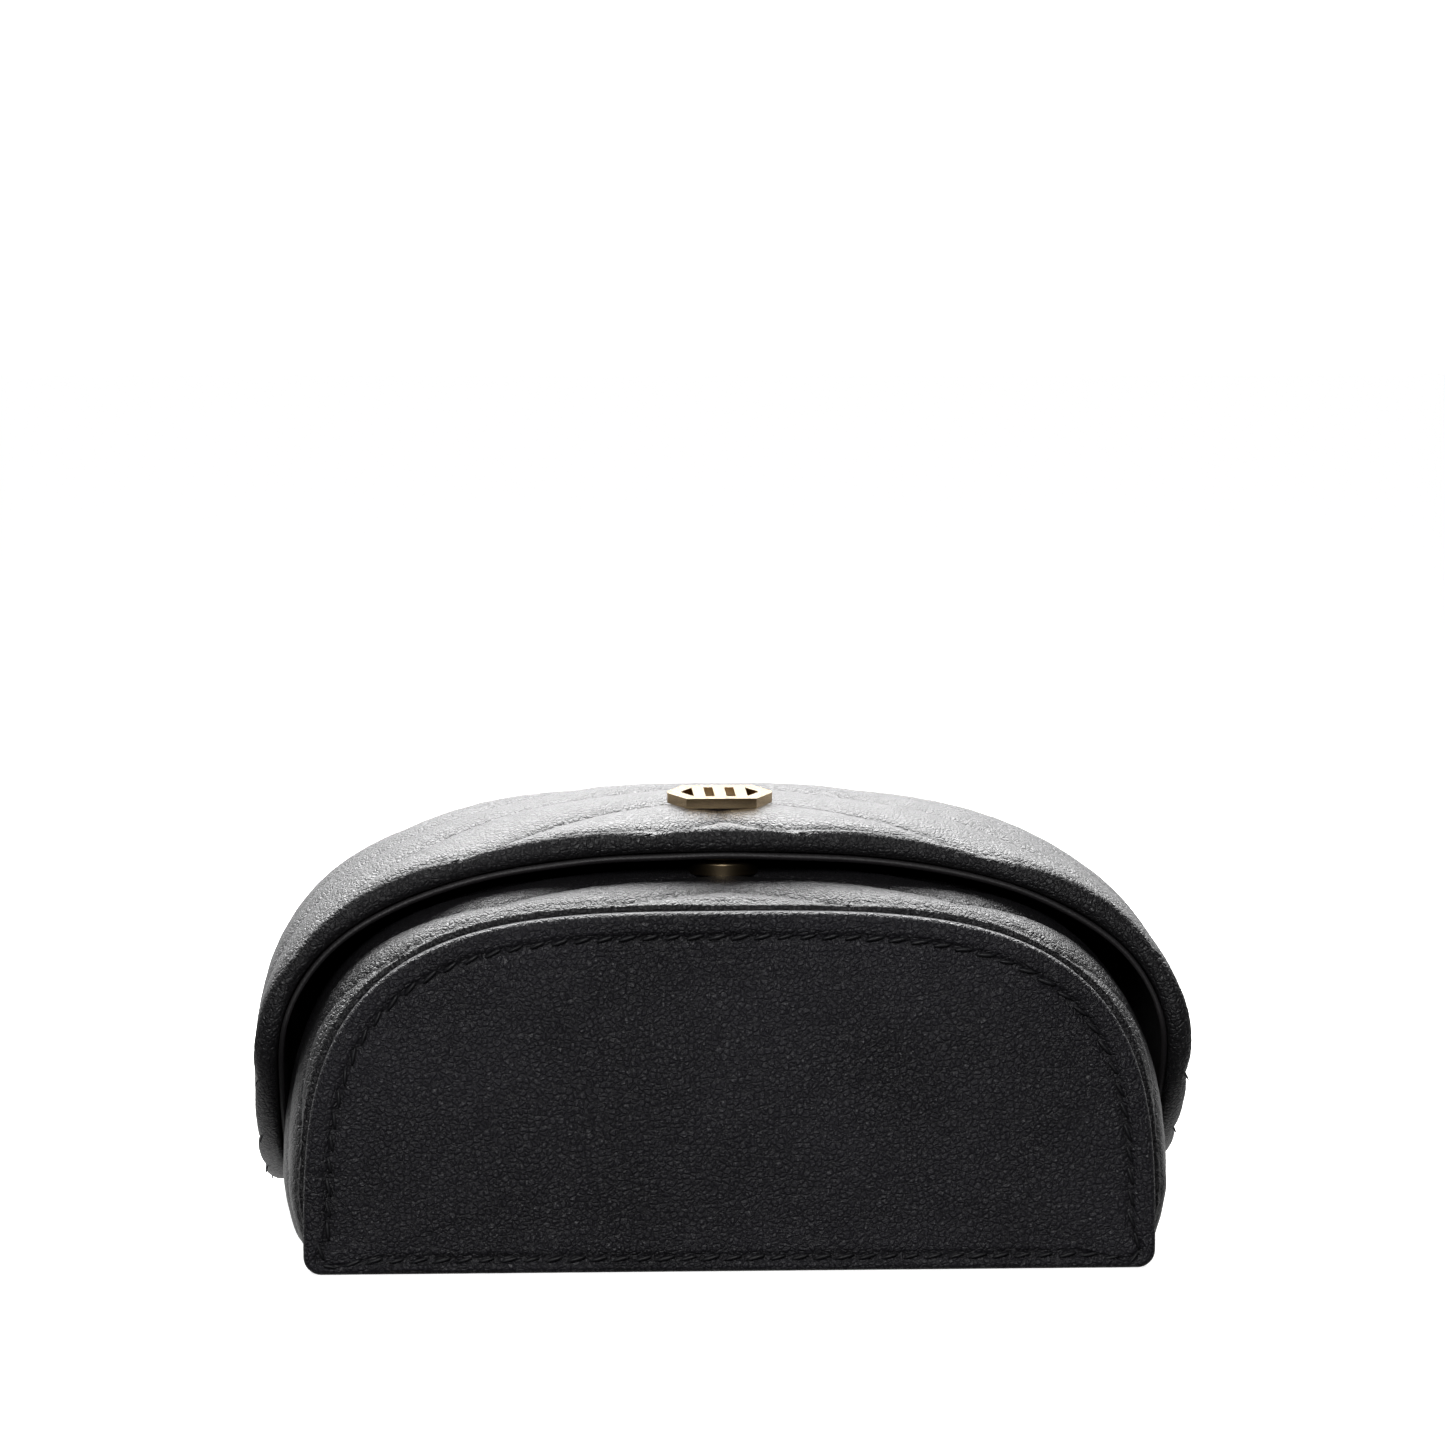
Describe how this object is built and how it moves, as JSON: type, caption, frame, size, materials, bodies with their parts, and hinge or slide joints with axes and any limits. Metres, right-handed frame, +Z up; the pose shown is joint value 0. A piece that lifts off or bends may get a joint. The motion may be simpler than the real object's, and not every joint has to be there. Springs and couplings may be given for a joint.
{
  "type": "jewellery case",
  "caption": "Quilted leather jewellery case with a flat back, an arched front and a padded hood lid that turns on a leather hinge and closes with a magnetic snap.",
  "frame": {"origin": "bottom centre of the bounding box, on the surface the case lies on, under the middle of its width and height", "axes": "+X across the width, +Y from the base to the hinged top of the case, +Z up from the flat back to the arched front"},
  "size_m": [0.1598, 0.116, 0.0773],
  "materials": {
    "black_lambskin": "soft fine-grained lambskin with a low sheen",
    "lining_leather": "thin smooth lining leather",
    "suede_lining": "matt microsuede",
    "padding": "white wadding",
    "board": "grey-brown fibreboard",
    "gold_metal": "pale gold plate, polished",
    "plated_steel": "plain plated steel",
    "magnet": "nickel-plated magnet",
    "mirror_glass": "silvered glass"
  },
  "bodies": {
    "case": {"base_leather": "black_lambskin", "base_rim": "black_lambskin", "base_board": "board", "floor_pad": "suede_lining", "wall_leather": "black_lambskin", "wall_padding": "padding", "wall_board": "board", "wall_lining": "suede_lining", "mouth_binding": "black_lambskin", "back_leather": "black_lambskin", "back_board": "board", "back_lining": "suede_lining", "divider": "suede_lining", "ring_bed": "suede_lining", "ring_roll_1": "suede_lining", "ring_roll_2": "suede_lining", "ring_roll_3": "suede_lining", "ring_roll_4": "suede_lining", "slip_pocket": "suede_lining", "snap_socket": "gold_metal", "snap_magnet": "magnet", "snap_socket_washer": "plated_steel"},
    "lid": {"lid_leather": "black_lambskin", "lid_cap_leather": "black_lambskin", "lid_cap_piping": "black_lambskin", "lid_edge_roll": "black_lambskin", "lid_padding": "padding", "lid_board": "board", "lid_cap_board": "board", "lid_lining": "lining_leather", "hinge_strip": "black_lambskin", "ornament": "gold_metal", "ornament_posts": "gold_metal", "ornament_washers": "plated_steel", "snap_stud": "gold_metal", "snap_stud_washer": "plated_steel", "mirror_glass": "mirror_glass", "mirror_frame": "black_lambskin"}
  },
  "joints": [
    {"name": "lid_hinge", "type": "hinge", "parent": "case", "child": "lid", "pos_m": [0, 0.058, 0], "axis": [-1, 0, 0], "range_deg": [0, 90]}
  ]
}
